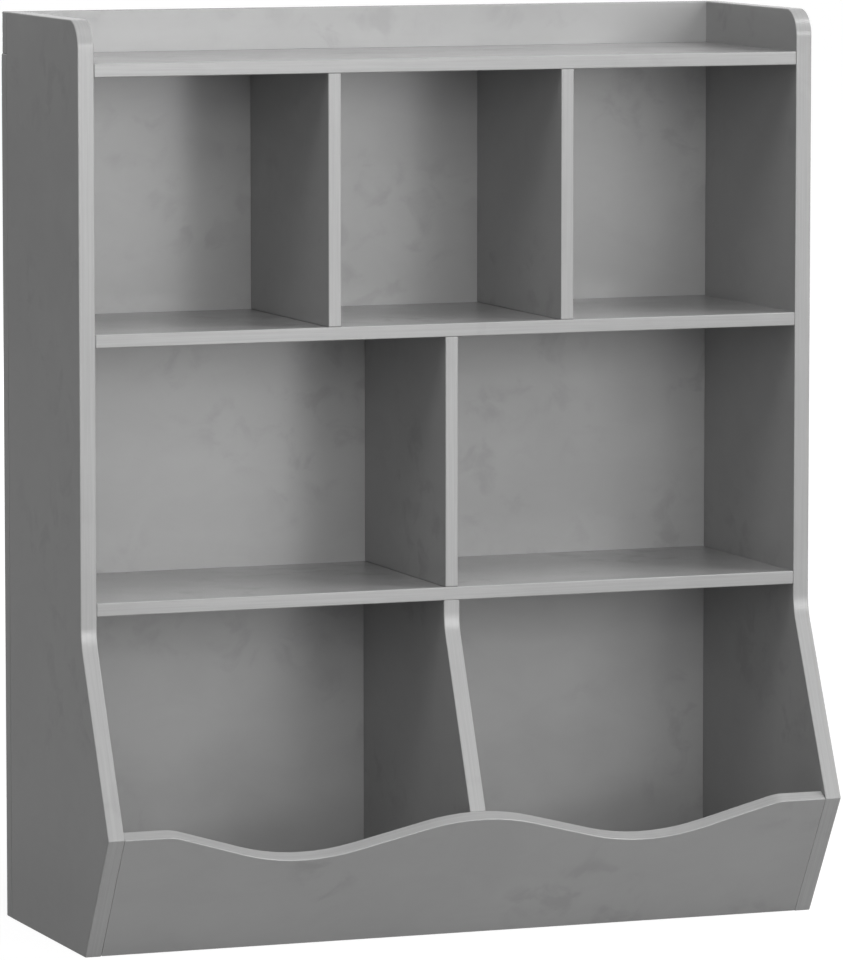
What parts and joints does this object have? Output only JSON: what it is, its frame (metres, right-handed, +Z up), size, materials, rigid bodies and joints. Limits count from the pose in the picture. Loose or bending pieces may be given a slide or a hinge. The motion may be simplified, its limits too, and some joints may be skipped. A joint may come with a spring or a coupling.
{
  "type": "toy storage organizer",
  "caption": "Open toy organizer of grey laminated boards with a top tray, two rows of cubbies, and bins behind a leaning front panel with a wavy top edge.",
  "frame": {"origin": "on the floor, at the middle of the footprint", "axes": "+Z up, +Y from the open front to the back, +X to the right seen from the front"},
  "size_m": [0.7, 0.3, 0.827],
  "materials": {
    "grey_laminate": "matt mid-grey laminate with a faint cloudy pattern, eased edges",
    "beech": "plain fluted beech",
    "zinc_plated_steel": "zinc plated",
    "cast_zinc": "bare zinc casting, dull"
  },
  "bodies": {
    "root": {"back_panel": "grey_laminate", "back_panel_screws": "zinc_plated_steel", "back_rail": "grey_laminate", "back_rail_dowels": "beech", "bottom_board": "grey_laminate", "bottom_board_cam_locks": "cast_zinc", "bottom_board_dowels": "beech", "front_bin_panel": "grey_laminate", "front_panel_end_dowels": "beech", "front_panel_middle_dowel": "beech", "left_cam_bolts": "zinc_plated_steel", "left_side_panel": "grey_laminate", "lower_divider": "grey_laminate", "lower_shelf": "grey_laminate", "lower_shelf_dowels": "beech", "middle_divider": "grey_laminate", "right_cam_bolts": "zinc_plated_steel", "right_side_panel": "grey_laminate", "top_board": "grey_laminate", "top_board_cam_locks": "cast_zinc", "top_board_dowels": "beech", "top_left_divider": "grey_laminate", "top_right_divider": "grey_laminate", "upper_shelf": "grey_laminate", "upper_shelf_dowels": "beech"}
  },
  "joints": []
}
